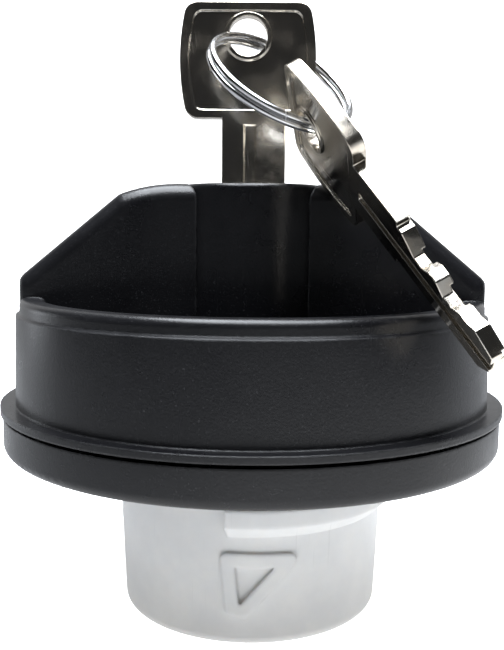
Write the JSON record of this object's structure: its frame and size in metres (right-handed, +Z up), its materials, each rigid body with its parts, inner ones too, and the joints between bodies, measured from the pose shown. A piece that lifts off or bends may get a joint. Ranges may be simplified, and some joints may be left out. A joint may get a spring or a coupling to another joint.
{
  "type": "fuel filler cap",
  "caption": "Locking screw-in fuel filler cap: black grip shell over a white cammed neck, with its key in the lock and a spare key on a split ring.",
  "frame": {"origin": "on the cap's axis, at the underside of the gasket, the face that seals on the filler neck's rim", "axes": "+Z up along the cap's axis, out of the filler neck; +X along the grip bar; -Y towards the side where the spare key hangs"},
  "size_m": [0.0816, 0.082, 0.098],
  "materials": {
    "black_plastic": "satin black moulding with a fine grain",
    "white_acetal": "white, slightly translucent, smooth",
    "natural_nylon": "natural off-white moulding",
    "black_rubber": "smooth black fuel-resistant rubber",
    "zinc_alloy": "die-cast zinc, dull grey",
    "plug_zinc": "plated die-cast zinc",
    "wafer_brass": "stamped brass",
    "spring_steel": "bright drawn wire or rod",
    "key_nickel": "nickel-plated brass, bright, stamped",
    "ring_steel": "nickel-plated spring wire"
  },
  "bodies": {
    "closure": {"closure_neck": "white_acetal", "filler_gasket": "black_rubber", "slip_washer": "natural_nylon", "valve_body": "natural_nylon", "valve_seal": "black_rubber", "valve_cover": "natural_nylon", "pressure_spring": "spring_steel"},
    "pressure_disc": {"pressure_valve": "natural_nylon", "vacuum_spring": "spring_steel"},
    "vacuum_poppet": {"vacuum_valve": "natural_nylon"},
    "shell": {"outer_shell": "black_plastic", "lock_housing": "black_plastic", "base_ring": "black_plastic", "lock_sleeve": "zinc_alloy", "bolt_carrier": "black_plastic", "carrier_screw_front": "spring_steel", "carrier_screw_rear": "spring_steel"},
    "plug": {"lock_plug": "plug_zinc", "wafer_1": "wafer_brass", "wafer_2": "wafer_brass", "wafer_3": "wafer_brass", "wafer_4": "wafer_brass", "wafer_5": "wafer_brass", "wafer_6": "wafer_brass", "lock_driver": "zinc_alloy", "driver_screw": "spring_steel"},
    "bolt": {"lock_bolt": "zinc_alloy"},
    "inserted_key": {"key": "key_nickel"},
    "ring": {"split_ring": "ring_steel"},
    "second_key": {"spare_key": "key_nickel"}
  },
  "joints": [
    {"name": "shell_spin", "type": "hinge", "parent": "closure", "child": "shell", "pos_m": [0, 0, 0.0105], "axis": [0, 0, 1], "continuous": true},
    {"name": "plug_turn", "type": "hinge", "parent": "shell", "child": "plug", "pos_m": [0, 0, 0.026], "axis": [0, 0, 1], "range_deg": [-90, 0]},
    {"name": "bolt_slide", "type": "slide", "parent": "shell", "child": "bolt", "axis": [1, 0, 0], "range_m": [0, 0.00467]},
    {"name": "key_pull", "type": "slide", "parent": "plug", "child": "inserted_key", "axis": [0, 0, 1], "range_m": [0, 0.025]},
    {"name": "ring_swing", "type": "hinge", "parent": "inserted_key", "child": "ring", "pos_m": [-0.001, 0, 0.0637], "axis": [0, -1, 0], "range_deg": [0, 60]},
    {"name": "spare_swing", "type": "hinge", "parent": "ring", "child": "second_key", "pos_m": [0.00879, -0.01413, 0.04771], "axis": [-0.7927, -0.6041, 0.0816], "range_deg": [0, 40]},
    {"name": "pressure_lift", "type": "slide", "parent": "closure", "child": "pressure_disc", "axis": [0, 0, 1], "range_m": [0, 0.003], "stiffness_N_per_m": 300, "deforming": ["pressure_spring"]},
    {"name": "vacuum_drop", "type": "slide", "parent": "pressure_disc", "child": "vacuum_poppet", "axis": [0, 0, -1], "range_m": [0, 0.0015], "stiffness_N_per_m": 60, "deforming": ["vacuum_spring"]}
  ],
  "couplings": [
    {"joint": "bolt_slide", "follows": "plug_turn", "m_per_rad": -0.002973}
  ]
}
